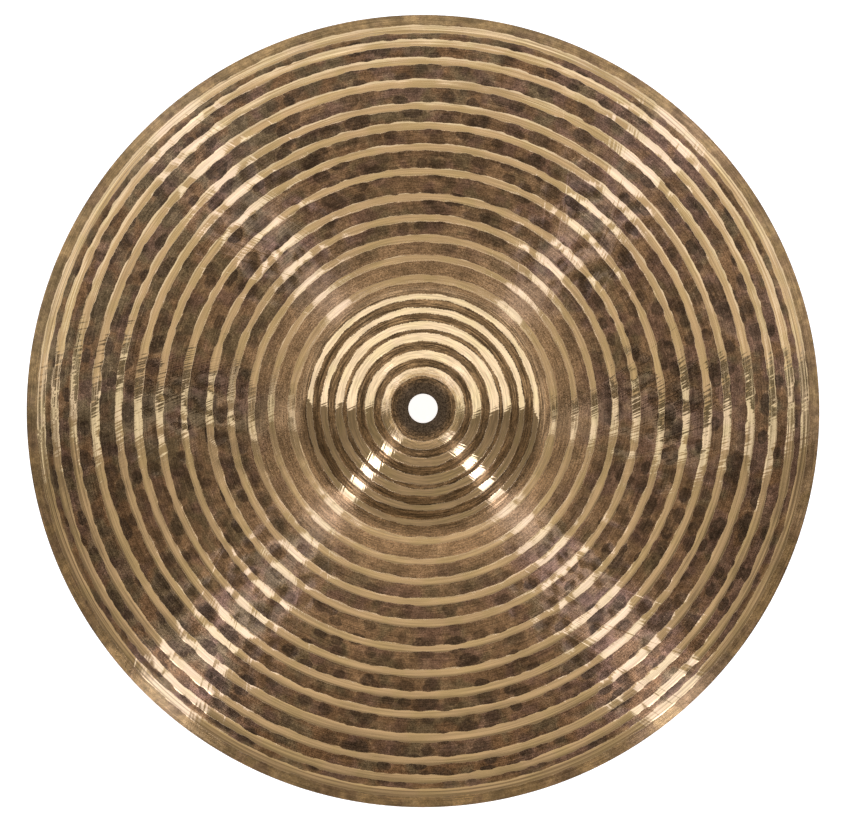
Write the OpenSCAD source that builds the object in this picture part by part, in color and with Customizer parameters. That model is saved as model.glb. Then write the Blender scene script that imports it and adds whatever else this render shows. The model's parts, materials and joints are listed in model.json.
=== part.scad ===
// Thin hand-hammered crash cymbal: one disc of cast bronze with a bell, a bow and a tapered rim.
// Both faces keep their raw hammered skin, with lathe bands cut into it at intervals.
// The axis is Z, the bell points up, and the rim rests on z = 0.

/* [Disc] */
// Diameter over the rim
cymbal_d = 355.6; // [280:0.1:460]
// Thickness of the metal at the bell
bell_t = 1.2; // [0.9:0.05:2.5]
// Thickness of the metal at the rim
rim_t = 0.8; // [0.6:0.05:1.6]

/* [Bell] */
// Diameter at the foot of the bell, where the bow begins
bell_d = 111; // [85:0.5:150]
// Height of the bell above the start of the bow
bell_h = 18; // [10:0.5:26]
// Radius of the hollow corner round the foot of the bell
foot_round = 7; // [3:0.5:14]
// Diameter of the flat seats for the stand's felts, above and below
seat_d = 28; // [18:0.5:34]
// Slope at which the bell leaves the seats, in degrees
seat_slope = 9; // [0:0.5:14]
// Diameter of the hole for the stand's rod and sleeve
hole_d = 13; // [8:0.1:16]
// Chamfer round both ends of the hole
hole_break = 0.15; // [0.05:0.05:0.3]

/* [Bow] */
// Height of the start of the bow above the rim
bow_h = 13; // [8:0.5:28]
// Slope of the bow beside the bell, in degrees
bow_slope = 2.5; // [0:0.25:3.5]

/* [Rim] */
// Width of the flat that the rim rests on, with the edge's rounding
rim_flat = 0.8; // [0.4:0.1:2]
// Rounding of the rim's two edges
edge_round = 0.25; // [0.05:0.05:0.28]

/* [Lathe bands] */
// Usual width of a lathe band on the bow
bow_band_w = 3.4; // [1.5:0.1:4.5]
// Usual width of a lathe band on the bell
bell_band_w = 3.2; // [1:0.1:4]
// Depth of the bands on the upper face
band_depth = 0.1; // [0.02:0.01:0.15]
// Depth of the bands on the underside
under_band_depth = 0.08; // [0.02:0.01:0.15]
// Width of the sloping wall on each side of a band
band_wall = 0.25; // [0.05:0.05:0.4]

/* [Hidden] */
$fn = 180;

// The hand-lathed bands as [middle, width]. Middles are shares of the way from the seat to the foot of the bell,
// and of the way from the foot of the bell to the rim. Widths are shares of the usual width.
bell_bands = [[0.062, 1.18], [0.242, 1.1], [0.432, 1.15], [0.564, 0.98], [0.727, 0.78], [0.883, 0.7]];
bow_bands = [
    [0.026, 0.97], [0.102, 0.77], [0.174, 0.9], [0.249, 0.98], [0.327, 1.03], [0.42, 0.95], [0.51, 1.01],
    [0.589, 1.07], [0.661, 1], [0.746, 1.18], [0.829, 1.04], [0.896, 1.04], [0.947, 1]
];

facet_len = 1.2;        // longest straight step along the outline
arc_steps = 6;          // steps round each rounded edge

rim_r = cymbal_d / 2;
bell_r = bell_d / 2;
seat_r = seat_d / 2;
hole_r = hole_d / 2;
rest_r = rim_r - rim_flat;   // where the rim's flat meets the hollow underside

// Bow: a convex arc from the foot of the bell to the rim.
bow_w = rim_r - bell_r;
bow_chord_slope = atan(bow_h / bow_w);
rim_slope = 2 * bow_chord_slope - bow_slope;
bow_arc_r = bow_w / (sin(rim_slope) - sin(bow_slope));
bow_arc_x = bell_r - bow_arc_r * sin(bow_slope);

// The rest plane cuts a flat of width rim_flat from the underside, so the top of the rim stands this high.
rim_z = rim_t / cos(rim_slope) - rim_flat * tan(rim_slope);
bow_arc_z = rim_z + bow_h - bow_arc_r * cos(bow_slope);

// Bell: a convex arc from the seat, then a hollow arc that runs into the bow.
// The two arcs touch where the line between their centres meets both.
top_h = rim_z + bow_h + bell_h;
foot_x = bell_r + foot_round * sin(bow_slope);
foot_z = rim_z + bow_h + foot_round * cos(bow_slope);
foot_w = foot_x - seat_r;
foot_drop = top_h - foot_z;
bell_arc_r = (pow(foot_w, 2) + pow(foot_drop, 2) - pow(foot_round, 2))
    / (2 * (foot_round - foot_w * sin(seat_slope) + foot_drop * cos(seat_slope)));
bell_arc_x = seat_r - bell_arc_r * sin(seat_slope);
bell_arc_z = top_h - bell_arc_r * cos(seat_slope);
bell_end_r = bell_arc_x + (foot_x - bell_arc_x) * bell_arc_r / (bell_arc_r + foot_round);

// Height and slope of the upper face at radius r.
function top_z(r) =
    r <= seat_r ? top_h
    : r <= bell_end_r ? bell_arc_z + sqrt(pow(bell_arc_r, 2) - pow(r - bell_arc_x, 2))
    : r <= bell_r ? foot_z - sqrt(pow(foot_round, 2) - pow(foot_x - r, 2))
    : bow_arc_z + sqrt(pow(bow_arc_r, 2) - pow(r - bow_arc_x, 2));

function slope(r) =
    r <= seat_r ? 0
    : r <= bell_end_r ? asin((r - bell_arc_x) / bell_arc_r)
    : r <= bell_r ? asin((foot_x - r) / foot_round)
    : asin((r - bow_arc_x) / bow_arc_r);

// The metal keeps one thickness over the bell and tapers evenly along the bow.
function thickness(r) = r <= bell_r ? bell_t : bell_t + (rim_t - bell_t) * (r - bell_r) / bow_w;

function under_z(r) = r >= rest_r ? 0 : top_z(r) - thickness(r) / cos(slope(r));

// Each band as [inner radius, outer radius], from the hole outwards.
function edges(rows, from, to, width) = [
    for (row = rows) let (r = from + row[0] * (to - from), half = row[1] * width / 2) [r - half, r + half]
];
bands = concat(edges(bell_bands, seat_r, bell_r, bell_band_w), edges(bow_bands, bell_r, rim_r, bow_band_w));

// The faces from the seat to outer_r as [from, to, cut] stretches, raw and lathed by turns.
function stretches(outer_r, depth) = [
    for (i = [0 : 2 * len(bands)]) let (k = floor(i / 2))
        i % 2 == 1 ? [bands[k][0] + band_wall, bands[k][1] - band_wall, depth]
        : [k == 0 ? seat_r : bands[k - 1][1], k == len(bands) ? outer_r : bands[k][0], 0]
];

// Radii from a to b with no step over facet_len.
function steps(a, b) = let (n = ceil((b - a) / facet_len)) [for (i = [0 : n]) a + (b - a) * i / n];

top_line = [
    for (s = stretches(rim_r - edge_round, band_depth)) for (r = steps(s[0], s[1])) [r, top_z(r) - s[2]]
];
under_line = [
    for (s = stretches(rest_r, under_band_depth)) for (r = steps(s[0], s[1])) [r, under_z(r) + s[2]]
];

// The rim's two rounded edges, from the top line round to the rest plane.
edge_top = top_z(rim_r - edge_round);
edge_line = concat(
    [for (i = [1 : arc_steps]) let (a = 90 - 90 * i / arc_steps)
        [rim_r - edge_round + edge_round * cos(a), edge_top - edge_round + edge_round * sin(a)]],
    [for (i = [0 : arc_steps]) let (a = -90 * i / arc_steps)
        [rim_r - edge_round + edge_round * cos(a), edge_round + edge_round * sin(a)]]
);

hole_line = [
    [hole_r + hole_break, top_h - bell_t],
    [hole_r, top_h - bell_t + hole_break],
    [hole_r, top_h - hole_break],
    [hole_r + hole_break, top_h]
];

function backwards(line) = [for (i = [len(line) - 1 : -1 : 0]) line[i]];

module cymbal() {
    color([0.66, 0.52, 0.36])
        rotate_extrude()
            polygon(concat(hole_line, top_line, edge_line, backwards(under_line)));
}

cymbal();
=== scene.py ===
import json
import math
import bpy
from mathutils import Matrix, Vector


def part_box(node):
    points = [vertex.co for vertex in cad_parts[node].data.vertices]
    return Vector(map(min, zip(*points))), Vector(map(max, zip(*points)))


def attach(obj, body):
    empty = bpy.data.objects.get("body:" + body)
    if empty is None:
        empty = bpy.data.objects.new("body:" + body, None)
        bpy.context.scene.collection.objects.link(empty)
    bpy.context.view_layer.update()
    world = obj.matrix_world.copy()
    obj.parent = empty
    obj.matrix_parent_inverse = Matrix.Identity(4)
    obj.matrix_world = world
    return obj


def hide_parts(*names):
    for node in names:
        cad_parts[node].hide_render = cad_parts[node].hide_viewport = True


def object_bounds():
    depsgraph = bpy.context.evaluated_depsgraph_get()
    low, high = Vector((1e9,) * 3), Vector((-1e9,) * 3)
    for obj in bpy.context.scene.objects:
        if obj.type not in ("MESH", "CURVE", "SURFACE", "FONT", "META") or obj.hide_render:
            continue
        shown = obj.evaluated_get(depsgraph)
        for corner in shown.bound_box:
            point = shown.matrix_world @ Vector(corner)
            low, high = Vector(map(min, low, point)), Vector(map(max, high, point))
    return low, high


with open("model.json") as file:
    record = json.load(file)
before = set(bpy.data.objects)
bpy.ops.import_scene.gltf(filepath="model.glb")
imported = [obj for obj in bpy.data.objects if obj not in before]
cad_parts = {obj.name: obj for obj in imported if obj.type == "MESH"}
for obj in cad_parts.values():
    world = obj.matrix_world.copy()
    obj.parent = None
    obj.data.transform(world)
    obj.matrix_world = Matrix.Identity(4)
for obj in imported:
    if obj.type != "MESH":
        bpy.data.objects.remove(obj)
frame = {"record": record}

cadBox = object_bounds()
cymbalLow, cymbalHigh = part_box("cymbal")
mounts = {mount["name"]: mount for mount in frame["record"]["mounts"]}
mm = 0.001

# The cymbal's sizes in millimetres, as its solid has them.
# The rim's radius, the whole height and the hole come from the frame.
cymbalSizes = {
    "bellThickness": 1.2,
    "rimThickness": 0.8,
    "bellDiameter": 111.0,
    "bellHeight": 18.0,
    "footRound": 7.0,
    "seatDiameter": 28.0,
    "seatSlope": 9.0,           # degrees, where the bell leaves the seat
    "holeBreak": 0.15,
    "bowSlope": 2.5,            # degrees, beside the bell
    "rimFlat": 0.8,
    "edgeRound": 0.25,
    "bellBandWidth": 3.2,
    "bowBandWidth": 3.4,
    # The bands as (middle, width). Middles are shares of the way from the seat to the foot, and from
    # the foot to the rim. Widths are shares of the usual width.
    "bellBands": [(0.062, 1.18), (0.242, 1.1), (0.432, 1.15), (0.564, 0.98), (0.727, 0.78), (0.883, 0.7)],
    "bowBands": [(0.026, 0.97), (0.102, 0.77), (0.174, 0.9), (0.249, 0.98), (0.327, 1.03),
                 (0.42, 0.95), (0.51, 1.01), (0.589, 1.07), (0.661, 1.0), (0.746, 1.18),
                 (0.829, 1.04), (0.896, 1.04), (0.947, 1.0)],
}

# How finely the mesh is cut: steps round the disc, and the longest step over raw metal in millimetres.
meshSteps = {"around": 460, "bowGap": 1.9, "bellGap": 2.6, "underGap": 4.5, "edge": 5}


class Wire:
    # A number socket of a shader or geometry tree that can be written in a formula.
    def __init__(self, tree, socket):
        self.tree = tree
        self.socket = socket

    def math(self, operation, *others):
        node = self.tree.nodes.new("ShaderNodeMath")
        node.operation = operation
        for slot, value in enumerate([self, *others]):
            plug(self.tree, value, node.inputs[slot])
        return Wire(self.tree, node.outputs[0])

    def __add__(self, other):
        return self.math("ADD", other)

    def __sub__(self, other):
        return self.math("SUBTRACT", other)

    def __mul__(self, other):
        return self.math("MULTIPLY", other)

    def __truediv__(self, other):
        return self.math("DIVIDE", other)

    def __rsub__(self, other):
        return self.math("MULTIPLY_ADD", -1.0, other)

    __radd__ = __add__
    __rmul__ = __mul__

    def floor(self):
        return self.math("FLOOR")

    def fraction(self):
        return self.math("FRACT")

    def squared(self):
        return self * self

    def atLeast(self, other):
        return self.math("MAXIMUM", other)

    def atMost(self, other):
        return self.math("MINIMUM", other)

    def ramp(self, low, high, lowValue=0.0, highValue=1.0):
        node = self.tree.nodes.new("ShaderNodeMapRange")
        node.interpolation_type = "SMOOTHSTEP"
        for slot, value in enumerate([self, low, high, lowValue, highValue]):
            plug(self.tree, value, node.inputs[slot])
        return Wire(self.tree, node.outputs[0])


def plug(tree, value, target):
    if isinstance(value, Wire):
        tree.links.new(value.socket, target)
    elif isinstance(value, bpy.types.NodeSocket):
        tree.links.new(value, target)
    elif value is not None:
        target.default_value = value


def addNode(tree, kind, settings=None, inputs=None):
    node = tree.nodes.new(kind)
    for name, value in (settings or {}).items():
        setattr(node, name, value)
    for name, value in (inputs or {}).items():
        plug(tree, value, node.inputs[name])
    return node


def joinVector(tree, x=0.0, y=0.0, z=0.0):
    return addNode(tree, "ShaderNodeCombineXYZ", inputs={"X": x, "Y": y, "Z": z}).outputs[0]


def splitVector(tree, vector):
    node = addNode(tree, "ShaderNodeSeparateXYZ", inputs={0: vector})
    return [Wire(tree, socket) for socket in node.outputs]


def noise(tree, vector, scale, detail=2.0, roughness=0.5):
    node = addNode(tree, "ShaderNodeTexNoise", inputs={
        "Vector": vector, "Scale": scale, "Detail": detail, "Roughness": roughness})
    return Wire(tree, node.outputs[0])


def noises(tree, vector, scale, detail=2.0, roughness=0.5):
    # Three noises that don't follow each other.
    node = addNode(tree, "ShaderNodeTexNoise", inputs={
        "Vector": vector, "Scale": scale, "Detail": detail, "Roughness": roughness})
    return splitVector(tree, node.outputs["Color"])


def mixColors(tree, share, first, second, blend="MIX"):
    node = addNode(tree, "ShaderNodeMix", {"data_type": "RGBA", "blend_type": blend})
    for slot, value in ((0, share), (6, first), (7, second)):
        plug(tree, value, node.inputs[slot])
    return node.outputs[2]


def newGroup(name, treeType, inputs, outputs):
    tree = bpy.data.node_groups.new(name, treeType)
    for direction, sockets in (("INPUT", inputs), ("OUTPUT", outputs)):
        for socketName, kind in sockets.items():
            tree.interface.new_socket(socketName, in_out=direction, socket_type="NodeSocket" + kind)
    start = tree.nodes.new("NodeGroupInput")
    end = tree.nodes.new("NodeGroupOutput")
    return tree, start.outputs, end.inputs


def useGroup(tree, group, inputs):
    kind = "ShaderNodeGroup" if tree.bl_idname == "ShaderNodeTree" else "GeometryNodeGroup"
    node = tree.nodes.new(kind)
    node.node_tree = group
    for name, value in inputs.items():
        plug(tree, value, node.inputs[name])
    return {socket.name: Wire(tree, socket) for socket in node.outputs}


# One layer of hammer marks: rows round the disc, each row with a whole number of marks, so that it closes.
hammerLayer = {
    "reach": 0.46,              # half a mark, as a share of its room
    "spread": 0.3,              # how much the marks' sizes differ
    "wander": 0.3,              # how far a mark strays, as a share of its room
    "kept": 0.33,               # share of the rooms that hold a mark
}


def hammerLayerGroup(treeType):
    tree, start, end = newGroup("hammerLayer" + treeType, treeType, {
        "Radius": "Float", "Turn": "Float", "Row pitch": "Float", "Mark pitch": "Float", "Seed": "Float"},
        {"Dent": "Float", "Tone": "Float", "Lip": "Float"})
    radius, turn, rowPitch, markPitch, seed = [Wire(tree, socket) for socket in start[:5]]
    shift = (seed * 0.37).fraction()
    row = radius / rowPitch + shift
    rowNumber = row.floor()
    marksInRow = ((rowNumber + 0.5 - shift) * rowPitch * math.tau / markPitch).floor().atLeast(1.0)
    slip = addNode(tree, "ShaderNodeTexWhiteNoise", {"noise_dimensions": "2D"},
                   {"Vector": joinVector(tree, rowNumber, seed)}).outputs["Value"]
    place = (turn + Wire(tree, slip)) * marksInRow
    mark = place.floor().math("MODULO", marksInRow)
    chance = addNode(tree, "ShaderNodeTexWhiteNoise", {"noise_dimensions": "3D"},
                     {"Vector": joinVector(tree, rowNumber, mark, seed)})
    along, across, tone = splitVector(tree, chance.outputs["Color"])
    luck = Wire(tree, chance.outputs["Value"]) / hammerLayer["kept"]     # below 1 where there is a mark
    present = luck.math("LESS_THAN", 1.0)
    spread = hammerLayer["spread"]
    reachAlong = (luck * spread + (1.0 - spread)) * hammerLayer["reach"]
    reachAcross = (tone * spread + (1.0 - spread)) * hammerLayer["reach"]
    along = (place.fraction() - 0.5 - (along - 0.5) * hammerLayer["wander"]) / reachAlong
    across = (row.fraction() - 0.5 - (across - 0.5) * hammerLayer["wander"]) / reachAcross
    depth = 1.0 - along.squared() - across.squared()
    plug(tree, depth.atLeast(0.0) * present, end["Dent"])
    plug(tree, depth.ramp(0.0, tone * 0.6 + 0.2) * (luck * 0.75 + 0.25) * present, end["Tone"])
    plug(tree, (1.0 - depth.math("ABSOLUTE") * 4.0).atLeast(0.0) * present, end["Lip"])
    return tree


# The hammer marks, in millimetres: one row pitch and one mark pitch for each layer.
hammering = {
    "rowPitches": [8.2, 10.0, 7.0, 11.8],
    "markPitches": [9.4, 11.4, 8.0, 13.6],
    "bend": 3.0,                # how far noise pulls the marks out of their rows and out of round
    "starts": 64.0,             # radius where the first marks show
    "full": 92.0,               # radius where they lie as thick as anywhere
    "ends": 169.5,
    "depth": 0.075,
    "seed": 3.0,                # one more on the upper face, one less underneath
}


def hammerMarksGroup(treeType):
    layer = hammerLayerGroup(treeType)
    tree, start, end = newGroup("hammerMarks" + treeType, treeType,
                                {"Radius": "Float", "Turn": "Float", "Position": "Vector", "Seed": "Float"},
                                {"Dent": "Float", "Tone": "Float", "Lip": "Float"})
    radius, turn, position, seed = Wire(tree, start[0]), Wire(tree, start[1]), start[2], Wire(tree, start[3])
    bend, twist, _ = noises(tree, position, 0.2, 2.0)
    bentRadius = radius + (bend - 0.5) * hammering["bend"]
    bentTurn = turn + (twist - 0.5) * hammering["bend"] / radius.atLeast(30.0) / math.tau
    found = {}
    for number, pitches in enumerate(zip(hammering["rowPitches"], hammering["markPitches"])):
        marks = useGroup(tree, layer, {"Radius": bentRadius, "Turn": bentTurn, "Row pitch": pitches[0],
                                       "Mark pitch": pitches[1], "Seed": seed + 1.7 * number})
        for name, value in marks.items():
            found[name] = found[name].atLeast(value) if name in found else value
    zone = radius.ramp(hammering["starts"], hammering["full"]) * radius.ramp(
        hammering["ends"] - 2.0, hammering["ends"], 1.0, 0.0)
    for name, value in found.items():
        plug(tree, value * zone, end[name])
    return tree


# The lathe's cut, in millimetres. Outside a band its tool runs above the metal.
latheCut = {"depth": 0.045, "wall": 1.3, "wander": 1.5, "tremble": 0.35}


def latheCutGroup(treeType):
    tree, start, end = newGroup("latheCut" + treeType, treeType,
                                {"Band distance": "Float", "Position": "Vector"}, {"Height": "Float"})
    distance, position = Wire(tree, start[0]), start[1]
    distance = distance + (noise(tree, position, 0.12, 1.0) - 0.5) * latheCut["wander"]
    distance = distance + (noise(tree, position, 0.45, 1.0) - 0.5) * latheCut["tremble"]
    plug(tree, (distance / latheCut["wall"]).atMost(1.0) * -latheCut["depth"], end["Height"])
    return tree


# The sheet's own waves, which the hammer leaves on both faces alike, in millimetres.
sheetWaves = {"height": 0.15, "length": 16.0, "starts": 56.0, "full": 84.0, "fades": 158.0, "ends": 174.0}


def inMillimetres(tree, position):
    node = addNode(tree, "ShaderNodeVectorMath", {"operation": "SCALE"}, {0: position, "Scale": 1 / mm})
    return node.outputs[0]


def polarPlace(tree, position):
    # X, Y, radius and turns from -X, for a position in millimetres.
    x, y, _ = splitVector(tree, position)
    radius = (x.squared() + y.squared()).math("SQRT")
    turn = y.math("ARCTAN2", x) / math.tau + 0.5
    return x, y, radius, turn


def outlineHeights():
    # The same arcs as the solid's: a flat seat, the bell, the hollow round its foot and the bow.
    rimRadius = cymbalHigh.x / mm
    bellRadius = cymbalSizes["bellDiameter"] / 2
    seatRadius = cymbalSizes["seatDiameter"] / 2
    restRadius = rimRadius - cymbalSizes["rimFlat"]
    footRound = cymbalSizes["footRound"]
    topHeight = cymbalHigh.z / mm
    bowSlope = math.radians(cymbalSizes["bowSlope"])
    bowWidth = rimRadius - bellRadius

    # The bow's height follows from the whole height, less the bell and the rim's own height.
    bowHeight = topHeight - cymbalSizes["bellHeight"]
    for _ in range(20):
        rimSlope = 2 * math.atan(bowHeight / bowWidth) - bowSlope
        rimHeight = cymbalSizes["rimThickness"] / math.cos(rimSlope)
        rimHeight = rimHeight - cymbalSizes["rimFlat"] * math.tan(rimSlope)
        bowHeight = topHeight - cymbalSizes["bellHeight"] - rimHeight
    bowArc = bowWidth / (math.sin(rimSlope) - math.sin(bowSlope))
    bowX = bellRadius - bowArc * math.sin(bowSlope)
    bowZ = rimHeight + bowHeight - bowArc * math.cos(bowSlope)

    # The bell's arc leaves the seat at its slope and touches the hollow arc round the foot.
    seatSlope = math.radians(cymbalSizes["seatSlope"])
    footX = bellRadius + footRound * math.sin(bowSlope)
    footZ = rimHeight + bowHeight + footRound * math.cos(bowSlope)
    footWidth, footDrop = footX - seatRadius, topHeight - footZ
    bellArc = (footWidth**2 + footDrop**2 - footRound**2) / 2 / (
        footRound - footWidth * math.sin(seatSlope) + footDrop * math.cos(seatSlope))
    bellX = seatRadius - bellArc * math.sin(seatSlope)
    bellZ = topHeight - bellArc * math.cos(seatSlope)
    bellEnd = bellX + (footX - bellX) * bellArc / (bellArc + footRound)

    def upper(radius):
        if radius <= seatRadius:
            return topHeight, 0.0
        if radius <= bellEnd:
            out = radius - bellX
            return bellZ + math.sqrt(bellArc**2 - out**2), math.asin(out / bellArc)
        if radius <= bellRadius:
            out = footX - radius
            return footZ - math.sqrt(footRound**2 - out**2), math.asin(out / footRound)
        out = radius - bowX
        return bowZ + math.sqrt(bowArc**2 - out**2), math.asin(out / bowArc)

    def under(radius):
        if radius >= restRadius:
            return 0.0
        height, slope = upper(radius)
        taper = max(0.0, radius - bellRadius) / bowWidth
        thickness = cymbalSizes["bellThickness"] * (1 - taper) + cymbalSizes["rimThickness"] * taper
        return height - thickness / math.cos(slope)

    return upper, under, (seatRadius, bellRadius, restRadius, rimRadius)


def bandEdges(seatRadius, bellRadius, rimRadius):
    edges = []
    for bands, start, end, width in (
            (cymbalSizes["bellBands"], seatRadius, bellRadius, cymbalSizes["bellBandWidth"]),
            (cymbalSizes["bowBands"], bellRadius, rimRadius, cymbalSizes["bowBandWidth"])):
        for share, widthShare in bands:
            middle = start + share * (end - start)
            edges.append((middle - widthShare * width / 2, middle + widthShare * width / 2))
    return edges


def bandDistance(bands, radius):
    # How far inside the nearest band a radius lies, below zero outside it.
    return max(min(radius - inner, outer - radius) for inner, outer in bands)


def bandPlace(bands, radius):
    # -1 at the inner edge of the nearest band, 1 at its outer edge.
    inner, outer = max(bands, key=lambda band: min(radius - band[0], band[1] - radius))
    return max(-1.0, min(1.0, (2 * radius - inner - outer) / (outer - inner)))


def faceRadii(bands, start, end, bandShares, bellRadius, bellGap, bowGap):
    radii = [start]
    for inner, outer in [*bands, (end, None)]:
        gap = inner - radii[-1]
        steps = max(2, math.ceil(gap / (bellGap if inner < bellRadius else bowGap)))
        radii += [radii[-1] + gap * step / steps for step in range(1, steps + 1)]
        if outer:
            radii += [inner + share * (outer - inner) for share in bandShares]
    return radii


def cymbalOutline():
    # The half outline once round, from the hole over the top and round the rim, then back underneath.
    # Its points are (radius, height, band distance, place in the band, face, place on the map), and the
    # last one closes it on the first.
    upper, under, (seatRadius, bellRadius, restRadius, rimRadius) = outlineHeights()
    bands = bandEdges(seatRadius, bellRadius, rimRadius)
    holeRadius = mounts["stand_hole"]["dims"]["r_mm"]
    holeBreak, edgeRound = cymbalSizes["holeBreak"], cymbalSizes["edgeRound"]
    edgeStart = rimRadius - edgeRound
    topHeight, _ = upper(0.0)
    lowHeight = topHeight - cymbalSizes["bellThickness"]
    onTop, below, between = 1.0, -1.0, 0.0

    points = [(holeRadius, topHeight - holeBreak, between), (holeRadius + holeBreak, topHeight, between)]
    for radius in faceRadii(bands, seatRadius, edgeStart, (0.3, 0.7, 1.0), bellRadius,
                            meshSteps["bellGap"], meshSteps["bowGap"]):
        points.append((radius, upper(radius)[0], onTop))
    edgeTop = upper(edgeStart)[0]
    for start, middle in ((90, edgeTop - edgeRound), (0, edgeRound)):
        for step in range(1, meshSteps["edge"] + 1):
            angle = math.radians(start - 90 * step / meshSteps["edge"])
            radius, height = edgeStart + edgeRound * math.cos(angle), middle + edgeRound * math.sin(angle)
            points.append((radius, height, between))
        if start:
            points.append((rimRadius, edgeRound, between))
    for radius in reversed(faceRadii(bands, seatRadius, restRadius, (0.5, 1.0), bellRadius,
                                     meshSteps["underGap"], meshSteps["underGap"])):
        points.append((radius, under(radius), below if radius < restRadius else between))
    points += [(holeRadius + holeBreak, lowHeight, between), (holeRadius, lowHeight + holeBreak, between)]
    points.append(points[0])

    # The upper face takes most of the map's height.
    run, places = 0.0, [0.0]
    for (r0, z0, f0), (r1, z1, f1) in zip(points, points[1:]):
        run += math.dist((r0, z0), (r1, z1)) * (0.3 if min(f0, f1) < 0 else 1.0)
        places.append(run)
    return [(r, z, bandDistance(bands, r), bandPlace(bands, r), face, place / run)
            for (r, z, face), place in zip(points, places)]


def outlineObject(points):
    mesh = bpy.data.meshes.new("cymbalBronze")
    edges = [(i, i + 1) for i in range(len(points) - 1)]
    mesh.from_pydata([(r * mm, 0, z * mm) for r, z, *_ in points], edges, [])
    for slot, name in ((2, "bandDistance"), (3, "bandPlace"), (4, "face"), (5, "mapPlace")):
        layer = mesh.attributes.new(name, "FLOAT", "POINT")
        layer.data.foreach_set("value", [point[slot] for point in points])
    piece = bpy.data.objects.new("cymbalBronze", mesh)
    bpy.context.collection.objects.link(piece)
    return piece


def spinAndHammerTree():
    # Spins the outline into the disc, then hammers both faces and runs the lathe over them.
    tree, start, end = newGroup("spinAndHammer", "GeometryNodeTree", {
        "Geometry": "Geometry", "Steps around": "Int", "Mark depth": "Float", "Seed": "Float",
        "Upper skin": "Material", "Under skin": "Material"}, {"Geometry": "Geometry"})
    outline, stepsAround, markDepth, seed, upperSkin, underSkin = start[:6]
    outlineSize = addNode(tree, "GeometryNodeAttributeDomainSize", inputs={"Geometry": outline})
    pointCount = outlineSize.outputs["Point Count"]
    rows = Wire(tree, pointCount) - 1.0
    steps = Wire(tree, stepsAround)
    grid = addNode(tree, "GeometryNodeMeshGrid", inputs={
        "Size X": 1.0, "Size Y": 1.0, "Vertices X": steps + 1.0, "Vertices Y": pointCount})
    gridX, gridY, _ = splitVector(tree, tree.nodes.new("GeometryNodeInputPosition").outputs[0])
    along = ((gridX + 0.5) * steps).math("ROUND")
    row = ((gridY + 0.5) * rows).math("ROUND")

    def through(kind, geometry, settings=None, **inputs):
        return addNode(tree, kind, settings, {"Geometry": geometry, **inputs}).outputs[0]

    def fromOutline(name, kind="FLOAT"):
        if name == "position":
            value = tree.nodes.new("GeometryNodeInputPosition").outputs[0]
        else:
            node = addNode(tree, "GeometryNodeInputNamedAttribute", {"data_type": kind}, {"Name": name})
            value = node.outputs[0]
        node = addNode(tree, "GeometryNodeSampleIndex", {"data_type": kind, "domain": "POINT"},
                       {"Geometry": outline, "Value": value, "Index": row})
        return node.outputs[0]

    radius, _, height = splitVector(tree, fromOutline("position", "FLOAT_VECTOR"))
    angle = along * -1.0 / steps * math.tau
    spun = joinVector(tree, radius * angle.math("COSINE"), radius * angle.math("SINE"), height)

    # The values are stored before the points move, while the grid still tells which row each belongs to.
    mapPlace = joinVector(tree, along / steps, Wire(tree, fromOutline("mapPlace")))
    geometry = grid.outputs["Mesh"]
    for name, value, kind, domain in (
            ("OFBake", mapPlace, "FLOAT2", "CORNER"),
            ("bandDistance", fromOutline("bandDistance"), "FLOAT", "POINT"),
            ("bandPlace", fromOutline("bandPlace"), "FLOAT", "POINT"),
            ("face", fromOutline("face"), "FLOAT", "POINT")):
        geometry = through("GeometryNodeStoreNamedAttribute", geometry, {"data_type": kind, "domain": domain},
                           Name=name, Value=value)
    geometry = through("GeometryNodeSetPosition", geometry, Position=spun)
    geometry = through("GeometryNodeMergeByDistance", geometry, Distance=0.005 * mm)

    def stored(name):
        return Wire(tree, addNode(tree, "GeometryNodeInputNamedAttribute", {"data_type": "FLOAT"},
                                  {"Name": name}).outputs[0])

    place = inMillimetres(tree, tree.nodes.new("GeometryNodeInputPosition").outputs[0])
    _, _, placeRadius, placeTurn = polarPlace(tree, place)
    face = stored("face")
    marks = useGroup(tree, hammerMarksGroup("GeometryNodeTree"), {
        "Radius": placeRadius, "Turn": placeTurn, "Position": place, "Seed": Wire(tree, seed) + face})
    cut = useGroup(tree, latheCutGroup("GeometryNodeTree"), {
        "Band distance": stored("bandDistance"), "Position": place})
    sink = (marks["Dent"] * Wire(tree, markDepth) * -1.0).atMost(cut["Height"])
    onFace = face.math("ABSOLUTE").math("GREATER_THAN", 0.5)
    wave = (noise(tree, place, 1 / sheetWaves["length"], 1.0) - 0.5) * sheetWaves["height"]
    wave = wave * placeRadius.ramp(sheetWaves["starts"], sheetWaves["full"])
    wave = wave * placeRadius.ramp(sheetWaves["fades"], sheetWaves["ends"], 1.0, 0.0)
    offset = joinVector(tree, z=(sink * face * onFace + wave) * mm)
    geometry = through("GeometryNodeSetPosition", geometry, Offset=offset)

    edgeAngle = Wire(tree, tree.nodes.new("GeometryNodeInputMeshEdgeAngle").outputs["Unsigned Angle"])
    sharp = edgeAngle.math("GREATER_THAN", math.radians(30))
    geometry = through("GeometryNodeSetShadeSmooth", geometry, {"domain": "FACE"})
    geometry = through("GeometryNodeSetShadeSmooth", geometry, {"domain": "EDGE"},
                       **{"Selection": sharp, "Shade Smooth": False})
    geometry = through("GeometryNodeRealizeInstances", geometry)
    geometry = through("GeometryNodeSetMaterial", geometry, Material=upperSkin)
    geometry = through("GeometryNodeSetMaterial", geometry, Selection=face.math("LESS_THAN", -0.01),
                       Material=underSkin)
    plug(tree, geometry, end["Geometry"])
    return tree


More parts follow.
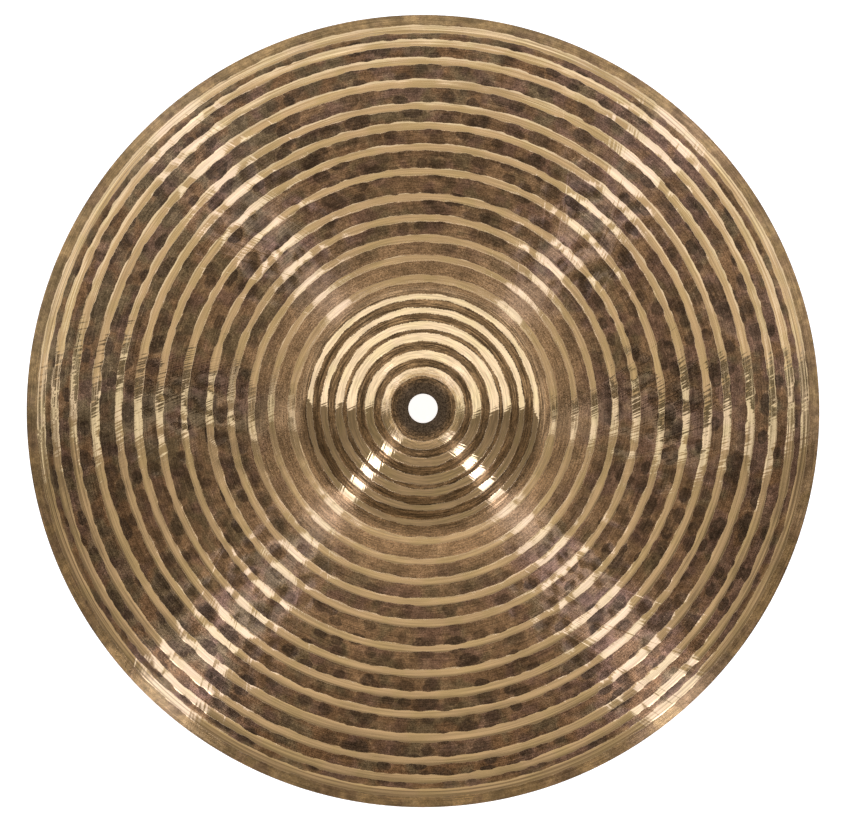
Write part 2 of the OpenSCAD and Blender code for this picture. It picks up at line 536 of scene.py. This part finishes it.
def applyNodes(piece, tree, values):
    # Runs the tree on the piece and keeps the result as its plain mesh.
    modifier = piece.modifiers.new("spinAndHammer", "NODES")
    modifier.node_group = tree
    for item in tree.interface.items_tree:
        if item.item_type == "SOCKET" and item.in_out == "INPUT" and item.name in values:
            modifier[item.identifier] = values[item.name]
    graph = bpy.context.evaluated_depsgraph_get()
    mesh = bpy.data.meshes.new_from_object(
        piece.evaluated_get(graph), preserve_all_data_layers=True, depsgraph=graph)
    mesh.name = piece.name
    piece.modifiers.remove(modifier)
    piece.data = mesh


# Colours are linear.
skinLook = {
    "rawBell": (0.14, 0.075, 0.029, 1),
    "rawInner": (0.295, 0.168, 0.076, 1),
    "rawMiddle": (0.203, 0.112, 0.052, 1),
    "rawOuter": (0.154, 0.077, 0.032, 1),
    "rawOlive": (0.128, 0.085, 0.04, 1),
    "rawPlum": (0.147, 0.077, 0.045, 1),
    # Pale patches in the raw skin, and the painted highlight on the hammer marks' lips.
    "rawPale": (0.4, 0.25, 0.125, 1),
    "markDark": (0.056, 0.033, 0.018, 1),
    "lathed": (0.585, 0.378, 0.188, 1),
    "lathedDeep": (0.54, 0.36, 0.164, 1),
    "rawRim": (0.285, 0.168, 0.067, 1),
    # The painted shade at the outer edge of each band on the bow.
    "bandEdge": (0.3, 0.185, 0.085, 1),
    # A burr along the bands' edges, painted lighter than the band as a painted highlight.
    "burr": (0.7, 0.5, 0.29, 1),
    "cup": (0.082, 0.05, 0.025, 1),
    "grazing": (0.5, 0.4, 0.3, 1),      # the tint of what it mirrors when seen from beside
}


# Where the skin changes, how rough it is, how deep its fine marks are in millimetres, and how far it tilts.
# A pair of radii tells where one skin gives way to the next.
skinGrain = {
    "cup": (12.6, 13.8),            # the rough ring round the hole
    "cupStain": (9.5, 14.2),
    "bellFoot": (50.0, 58.0),
    "middle": (55.0, 95.0),
    "outer": (100.0, 165.0),
    "rim": (166.0, 174.0),
    "lathedRough": 0.07,
    "rawRough": (0.05, 0.12),       # the raw skin's, between its smooth and its gritty spots
    "rimRough": 0.15,               # more of it towards the rim
    "gritDepth": (0.003, 0.009),    # inside and outside
    "bandStep": 0.015,
    "strokeDepth": 0.005,
    "sideStrokes": 0.007,           # more of it at both sides
    "creaseDepth": 0.007,
    "bellStrokes": 0.02,
    "fineTilt": 0.16,
    "broadTilt": 0.1,
    "crown": (0.03, 0.1),           # how the bands are rounded: evenly, and at their edges
    "lean": (0.00042, 0.005),       # how far a band leans round the disc, on the bow and more on the bell
}


def polarVector(tree, x, y, radius, around, across):
    # Coordinates that run slowly round the disc and fast across it, and close without a seam.
    return joinVector(tree, x / radius * around, y / radius * around, radius * across)


def slantVector(tree, radius, turn, around, across, slant=0.45):
    # The same, for strokes that lean off the radius by a steady slant.
    angle = turn * math.tau - radius.math("LOGARITHM", math.e) * slant
    return joinVector(tree, angle.math("COSINE") * around, angle.math("SINE") * around, radius * across)


def shade(tree, color, value, low, high):
    # Darkens and lightens a colour from low to high as the value goes from 0.3 to 0.7.
    return mixColors(tree, 1.0, color, joinVector(tree, *[value.ramp(0.3, 0.7, low, high)] * 3), "MULTIPLY")


def bronzeSkin(name, seed, groups):
    material = bpy.data.materials.new(name)
    material.use_nodes = True
    tree = material.node_tree
    tree.nodes.clear()
    place = inMillimetres(tree, tree.nodes.new("ShaderNodeTexCoord").outputs["Object"])
    x, y, radius, turn = polarPlace(tree, place)
    stored = [addNode(tree, "ShaderNodeAttribute", {"attribute_name": layer}).outputs["Fac"]
              for layer in ("bandDistance", "bandPlace")]
    distance, across = [Wire(tree, socket) for socket in stored]
    marks = useGroup(tree, groups["marks"], {"Radius": radius, "Turn": turn, "Position": place, "Seed": seed})
    cut = useGroup(tree, groups["cut"], {"Band distance": distance, "Position": place})
    grit = noise(tree, place, 1.6, 3.0, 0.7)
    tremble = noise(tree, polarVector(tree, x, y, radius, 110.0, 0.5), 1.0, 2.0)
    ragged = (grit - 0.5) * 0.012 + (tremble - 0.5) * 0.01
    onBell = radius.ramp(*skinGrain["bellFoot"], 1.0, 0.0)
    onBow = 1.0 - onBell
    onCup = radius.ramp(*skinGrain["cup"], 1.0, 0.0)
    rawHeight = ragged * (onBell * 2.0 + 1.0) - marks["Dent"] * 0.014 + 0.003
    lathed = (rawHeight - cut["Height"]).ramp(-0.003, 0.004)

    # Raw skin: darker towards the rim, clouded, stained in the hammer marks.
    raw = mixColors(tree, onBow, skinLook["rawBell"], skinLook["rawInner"])
    for zone, look in (("middle", "rawMiddle"), ("outer", "rawOuter"), ("rim", "rawRim")):
        raw = mixColors(tree, radius.ramp(*skinGrain[zone]), raw, skinLook[look])
    bowOnly = radius.ramp(60, 85) * radius.ramp(170, 175, 1.0, 0.5)
    olive, plum, pale = noises(tree, place, 0.075, 2.0, 0.55)
    raw = mixColors(tree, (olive - x * 0.0004).ramp(0.45, 0.62) * 0.8 * bowOnly, raw, skinLook["rawOlive"])
    raw = mixColors(tree, (plum + x * 0.0003).ramp(0.47, 0.64) * 0.8 * bowOnly, raw, skinLook["rawPlum"])
    raw = mixColors(tree, pale.ramp(0.55, 0.72) * 0.15, raw, skinLook["rawPale"])
    mottle, crumbs, lipChance = noises(tree, place, 0.32, 3.0, 0.7)
    raw = mixColors(tree, marks["Tone"] * crumbs.ramp(0.3, 0.55, 0.5, 0.95), raw, skinLook["markDark"])
    # Painted highlight: a pale line is painted on the lips of some hammer marks.
    lipHighlight = marks["Lip"].ramp(0.3, 0.9) * lipChance.ramp(0.52, 0.62)
    raw = mixColors(tree, lipHighlight * 0.22, raw, skinLook["rawPale"])
    raw = shade(tree, raw, noise(tree, place, 0.09, 2.0), 0.82, 1.18)
    raw = shade(tree, raw, mottle, radius.ramp(60, 110, 0.9, 0.76), radius.ramp(60, 110, 1.1, 1.24))
    brush = noise(tree, polarVector(tree, x, y, radius, 6.0, 2.6), 1.0, 3.0, 0.75)
    raw = shade(tree, raw, brush, 0.64 - onBell * 0.28, onBell * 0.4 + 1.36)
    rings = noise(tree, polarVector(tree, x, y, radius, 1.6, 2.4), 1.0, 1.0, 0.6)
    raw = shade(tree, raw, rings, 1.0 - onBell * 0.5, onBell * 0.5 + 1.0)
    # Painted shade: the raw skin is painted lighter towards the front (-Y) and darker towards the back.
    raw = shade(tree, raw, 0.5 - y / radius * 0.2, 0.92, 1.1)
    # Darker round the hole.
    raw = mixColors(tree, radius.ramp(*skinGrain["cupStain"], 1.0, 0.0), raw, skinLook["cup"])
    coarse = radius.ramp(60, 130, 0.42, 0.4) + radius.ramp(135, 165, 0.0, 0.08)
    coarse = coarse - radius.ramp(165, 170, 0.0, 0.28) + onCup * 0.3
    raw = shade(tree, raw, grit, 1.0 - coarse, coarse + 1.0)

    # The lathed bands.
    deeper = noise(tree, place, 0.08, 2.0).ramp(0.4, 0.65)
    turned = mixColors(tree, deeper, skinLook["lathed"], skinLook["lathedDeep"])
    grooves = noise(tree, polarVector(tree, x, y, radius, 3.0, 1.5), 1.0, 2.0, 0.7)
    turned = shade(tree, turned, grooves, 0.8 - onBell * 0.05, onBell * 0.02 + 1.18)
    rimLines = ((radius + grooves * 0.5) / 1.6).fraction().ramp(0.62, 0.78)
    # Painted shade: each band on the bow is painted darker brown towards its outer edge.
    turned = mixColors(tree, across.ramp(0.3, 1.0) * onBow * 0.4, turned, skinLook["bandEdge"])
    turned = mixColors(tree, rimLines * radius.ramp(168, 170) * 0.45, turned, raw)
    color = mixColors(tree, lathed, raw, turned)
    # Painted highlight: a lighter line is painted where each band meets the raw skin, for a burr, stronger on
    # the bell.
    burr = lathed * (1.0 - lathed) * radius.ramp(50, 60, 1.6, 0.6)
    color = mixColors(tree, burr, color, skinLook["burr"])
    rawRough = grit.ramp(0.35, 0.62, *skinGrain["rawRough"]) + radius.ramp(70, 105, 0.05, 0.0)
    rawRough = rawRough + radius.ramp(118, 156, 0.0, skinGrain["rimRough"])
    rawRough = rawRough + onBell * rings.ramp(0.35, 0.65, 0.28, 0.04) + onCup * 0.3
    rough = lathed.ramp(0.0, 1.0, rawRough, skinGrain["lathedRough"])

    # Fine grooves that the lathe leaves, and strokes across them.
    atSides = (x.squared() / radius.squared()).ramp(0.8, 0.97)
    strokes = noise(tree, slantVector(tree, radius, turn, 130.0, 0.02), 1.0, 0.0)
    strokes = strokes * (atSides * skinGrain["sideStrokes"] + skinGrain["strokeDepth"])
    creases = noise(tree, slantVector(tree, radius, turn, 26.0, 0.02), 1.0, 0.0).ramp(0.66, 0.72)
    strokes = (strokes + creases * skinGrain["creaseDepth"]) * radius.ramp(0, 140).squared()
    bellStrokes = noise(tree, slantVector(tree, radius, turn, 50.0, 0.1), 1.0, 0.0)
    strokes = strokes + bellStrokes * onBell * skinGrain["bellStrokes"]
    gritty = (grit - 0.5) * radius.ramp(60, 140, *skinGrain["gritDepth"]) * (1.0 - lathed)
    height = gritty - lathed * skinGrain["bandStep"] + strokes
    bump = addNode(tree, "ShaderNodeBump", inputs={"Strength": 1.0, "Distance": mm, "Height": height})
    fine = noise(tree, polarVector(tree, x, y, radius, 6.0, 5.0), 1.0, 1.0, 0.5) - 0.5
    broad = noise(tree, polarVector(tree, x, y, radius, 3.0, 1.4), 1.0, 1.0, 0.5) - 0.5
    evenCrown, edgeCrown = skinGrain["crown"]
    bandCrown = across * evenCrown + across * across.squared() * edgeCrown
    grooveTilt = fine * skinGrain["fineTilt"] + broad * skinGrain["broadTilt"]
    out = grooveTilt * lathed.ramp(0.0, 1.0, 0.6, 1.0) + bandCrown * lathed * (1.0 - atSides * 0.7)

    # At both sides every band leans a little its own way round the disc.
    bowLean, bellLean = skinGrain["lean"]
    lean = noise(tree, joinVector(tree, x * 0.006, y * 0.006, radius * 0.16), 1.0, 0.0) - 0.5
    lean = lean * atSides * (onBell * bellLean + bowLean)
    tilt = joinVector(tree, x / radius * out - y * lean, y / radius * out + x * lean)
    tilted = addNode(tree, "ShaderNodeVectorMath", {"operation": "ADD"}, {0: bump.outputs[0], 1: tilt})
    tilted = addNode(tree, "ShaderNodeVectorMath", {"operation": "NORMALIZE"}, {0: tilted.outputs[0]})
    tangent = addNode(tree, "ShaderNodeTangent", {"direction_type": "RADIAL", "axis": "Z"})
    shader = addNode(tree, "ShaderNodeBsdfPrincipled", inputs={
        "Base Color": color, "Metallic": lathed.ramp(0.0, 1.0, 0.93 - onBell * 0.23, 1.0),
        "Specular IOR Level": 0.0, "Specular Tint": skinLook["grazing"], "Roughness": rough,
        "Anisotropic": 1.0, "Anisotropic Rotation": 0.25,
        "Normal": tilted.outputs[0], "Tangent": tangent.outputs[0]})
    output = tree.nodes.new("ShaderNodeOutputMaterial")
    tree.links.new(shader.outputs[0], output.inputs["Surface"])
    return material


def cymbalPiece():
    groups = {"marks": hammerMarksGroup("ShaderNodeTree"), "cut": latheCutGroup("ShaderNodeTree")}
    piece = outlineObject(cymbalOutline())
    seed = hammering["seed"]
    applyNodes(piece, spinAndHammerTree(), {
        "Steps around": meshSteps["around"], "Mark depth": hammering["depth"], "Seed": seed,
        "Upper skin": bronzeSkin("hammeredBronzeUpper", seed + 1.0, groups),
        "Under skin": bronzeSkin("hammeredBronzeUnder", seed - 1.0, groups)})
    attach(piece, "root")
    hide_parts("cymbal")
    triangles = sum(len(face.vertices) - 2 for face in piece.data.polygons)
    print("cymbal:", triangles, "triangles")


# The studio is a dome of soft light: a ceiling over the cymbal, a bright wall behind it, a dark room in front
# and four strip lights. Angles are in degrees, down from the dome's top and by compass from +X.
studio = {
    "floorSize": 6.0,
    "floorGap": 0.0004,         # metres between the rim and the floor
    "floorGlow": 0.9,
    "lean": 1.75,               # how far the dome's top leans away from the camera's side
    "ceilingBack": [(4.0, 0.73), (15.0, 0.92)],     # the ceiling's glow over the back, at two angles down
    "ceilingFront": [(9.0, 0.87), (18.0, 0.8)],
    "dusk": 0.55,               # how much dimmer the ceiling is in front of both sides
    "ceilingReach": 21.5,       # how far down the ceiling comes
    "gap": 0.22,                # the ceiling's glow in the dark gaps on both sides, as a share
    "gapWidth": 9.0,            # by compass, from the sides to the back
    "gapSwing": 5.5,            # how far all this swings to the back on the left near the dome's top
    "wrap": 6.5,                # how far the wall's light comes round to the front, by compass
    "wrapShare": 0.85,          # how much of it
    "turn": 1.5,                # how far the line between wall and room is turned, clockwise from above
    "wall": (1.68, 1.92, 2.4),
    "wallLow": (0.5, 0.47, 0.43),   # its glow near the floor
    "room": (0.34, 0.34, 0.34),
    "roomMiddle": 1.5,          # how much brighter it is straight in front
    "strip": (1.88, 2.16, 3.1),
    "stripLow": 3.4,            # how much brighter the strips are low down
    "stripFade": 0.35,          # what is left of this near the floor
    "stripFlare": 12.0,         # how much wider the strips are near the top
    # Each strip's compass, half width, how far down it comes and its share of the glow.
    "strips": [(48.4, 4.3, 31.0, 1.0), (130.7, 4.3, 31.0, 0.95),
               (228.0, 4.2, 80.0, 0.98), (311.2, 4.4, 80.0, 0.98)],
}


def domeGlow(tree, direction):
    x, y, z = splitVector(tree, direction)
    lean = math.radians(studio["lean"])
    y, z = y * math.cos(lean) - z * math.sin(lean), z * math.cos(lean) + y * math.sin(lean)
    level = (x.squared() + y.squared()).math("SQRT").atLeast(0.0001)
    down = z.math("ARCCOSINE") * (180 / math.pi)
    turn = math.radians(studio["turn"])
    backward = y * math.cos(turn) + x * math.sin(turn)
    behind = (backward / level).math("ARCSINE") * (180 / math.pi)       # 0 at both sides, 90 at the back

    def offCompass(compass):
        angle = math.radians(compass)
        return ((x * math.cos(angle) + y * math.sin(angle)) / level).math("ARCCOSINE") * (180 / math.pi)

    wrap, gapWidth = studio["wrap"], studio["gapWidth"]
    sides = down.ramp(3.5, 5.5)
    leftTop = x.ramp(-0.01, 0.01, 1.0, 0.0) * down.ramp(5.5, 9.5, 1.0, 0.0)
    swung = behind - leftTop * studio["gapSwing"]
    backGap = swung.ramp(0, 1.6) * swung.ramp(gapWidth - 1, gapWidth + 1, 1.0, 0.0)
    frontGap = swung.ramp(-wrap - 6, -wrap - 4) * swung.ramp(-wrap - 1, -wrap, 1.0, 0.0)
    gap = (backGap * (1.0 - leftTop * 0.85) + frontGap * (leftTop * 0.7 + 0.2)) * sides
    wrapped = swung.ramp(-wrap - 0.8, 0.8 - wrap) * swung.ramp(0, 1.6, 1.0, 0.0) * sides
    wrapped = wrapped * (1.0 - leftTop * 0.4)
    dusk = behind.ramp(-38, -14) * behind.ramp(-wrap, 0, 1.0, 0.0) * down.ramp(7, 14, studio["dusk"], 0.1)
    dusk = dusk * x.ramp(-0.01, 0.01, 1.0, 0.5)
    halves = []
    for (firstDown, firstGlow), (lastDown, lastGlow) in (studio["ceilingFront"], studio["ceilingBack"]):
        halves.append(down.ramp(firstDown, lastDown, firstGlow, lastGlow))
    ceiling = behind.ramp(-wrap - 5, 2, *halves) * (1.0 - gap * (1.0 - studio["gap"])) * (1.0 - dusk)
    room = behind.ramp(-60, -10, studio["roomMiddle"], 1.0)
    reach = studio["ceilingReach"]
    back = backward.ramp(-0.004, 0.004)
    away = down.ramp(reach - 1.5, reach + 1.5) * back + down.ramp(reach - 2.3, reach - 0.3) * (1.0 - back)
    strips = None
    stripGain = down.ramp(26, 36, 1.0, studio["stripLow"]) * down.ramp(56, 72, 1.0, studio["stripFade"])
    for compass, half, stripReach, share in studio["strips"]:
        offLine = offCompass(compass) - (down + 1.0).math("POWER", -1.0) * studio["stripFlare"]
        strip = offLine.ramp(half - 1, half + 1, share, 0.0)
        strip = strip * down.ramp(stripReach - 2, stripReach + 2, 1.0, 0.0)
        strips = strip if strips is None else strips + strip
    channels = []
    for slot in range(3):
        wall = down.ramp(77, 88, studio["wall"][slot], studio["wallLow"][slot])
        far = room * studio["room"][slot] * (1.0 - back) + back * wall
        near = ceiling * (1.0 - wrapped) + wrapped * studio["wrapShare"] * studio["wall"][slot]
        glow = near * (1.0 - away) + far * away
        channels.append(glow * (1.0 - strips).atLeast(0.0) + strips * stripGain * studio["strip"][slot])
    return joinVector(tree, *channels)


def studioLight():
    world = bpy.data.worlds.new("studio")
    bpy.context.scene.world = world
    world.use_nodes = True
    tree = world.node_tree
    tree.nodes.clear()
    direction = tree.nodes.new("ShaderNodeTexCoord").outputs["Generated"]
    dome = addNode(tree, "ShaderNodeBackground", inputs={"Color": domeGlow(tree, direction)})
    backdrop = addNode(tree, "ShaderNodeBackground", inputs={"Color": (1, 1, 1, 1)})
    seen = tree.nodes.new("ShaderNodeLightPath").outputs["Is Camera Ray"]
    mixed = addNode(tree, "ShaderNodeMixShader", inputs={0: seen, 1: dome.outputs[0], 2: backdrop.outputs[0]})
    tree.links.new(mixed.outputs[0], tree.nodes.new("ShaderNodeOutputWorld").inputs["Surface"])


def paleFloor():
    mesh = bpy.data.meshes.new("floor")
    half = studio["floorSize"] / 2
    corners = [(-half, -half, 0), (half, -half, 0), (half, half, 0), (-half, half, 0)]
    mesh.from_pydata(corners, [], [(0, 1, 2, 3)])
    floor = bpy.data.objects.new("floor", mesh)
    floor.location.z = cadBox[0].z - studio["floorGap"]
    bpy.context.collection.objects.link(floor)
    material = bpy.data.materials.new("paleFloor")
    material.use_nodes = True
    shader = material.node_tree.nodes["Principled BSDF"]
    shader.inputs["Base Color"].default_value = (0.6, 0.6, 0.6, 1)
    shader.inputs["Roughness"].default_value = 0.9
    shader.inputs["Emission Color"].default_value = (1, 1, 1, 1)
    shader.inputs["Emission Strength"].default_value = studio["floorGlow"]
    mesh.materials.append(material)


# The camera looks almost straight down, a hair from the front.
cameraLook = {"away": 4.0, "tilt": 1.75, "frameWidth": 1.067, "aimY": -0.002}


def topCamera():
    data = bpy.data.cameras.new("camera")
    data.sensor_width = 36.0
    data.lens = data.sensor_width * cameraLook["away"] / (cameraLook["frameWidth"] * 2 * cymbalHigh.x)
    camera = bpy.data.objects.new("camera", data)
    tilt = math.radians(cameraLook["tilt"])
    aim = Vector((0, cameraLook["aimY"], 0))
    camera.location = aim + cameraLook["away"] * Vector((0, -math.sin(tilt), math.cos(tilt)))
    camera.rotation_euler = (tilt, 0, 0)
    bpy.context.collection.objects.link(camera)
    bpy.context.scene.camera = camera


bpy.context.scene.view_settings.view_transform = "Standard"
topCamera()
print("camera:", cameraLook["away"], "m away,", cameraLook["tilt"], "degrees off straight down")
studioLight()
print("studio:", len(studio["strips"]), "strip lights")
paleFloor()
print("floor:", studio["floorSize"], "m wide")
cymbalPiece()
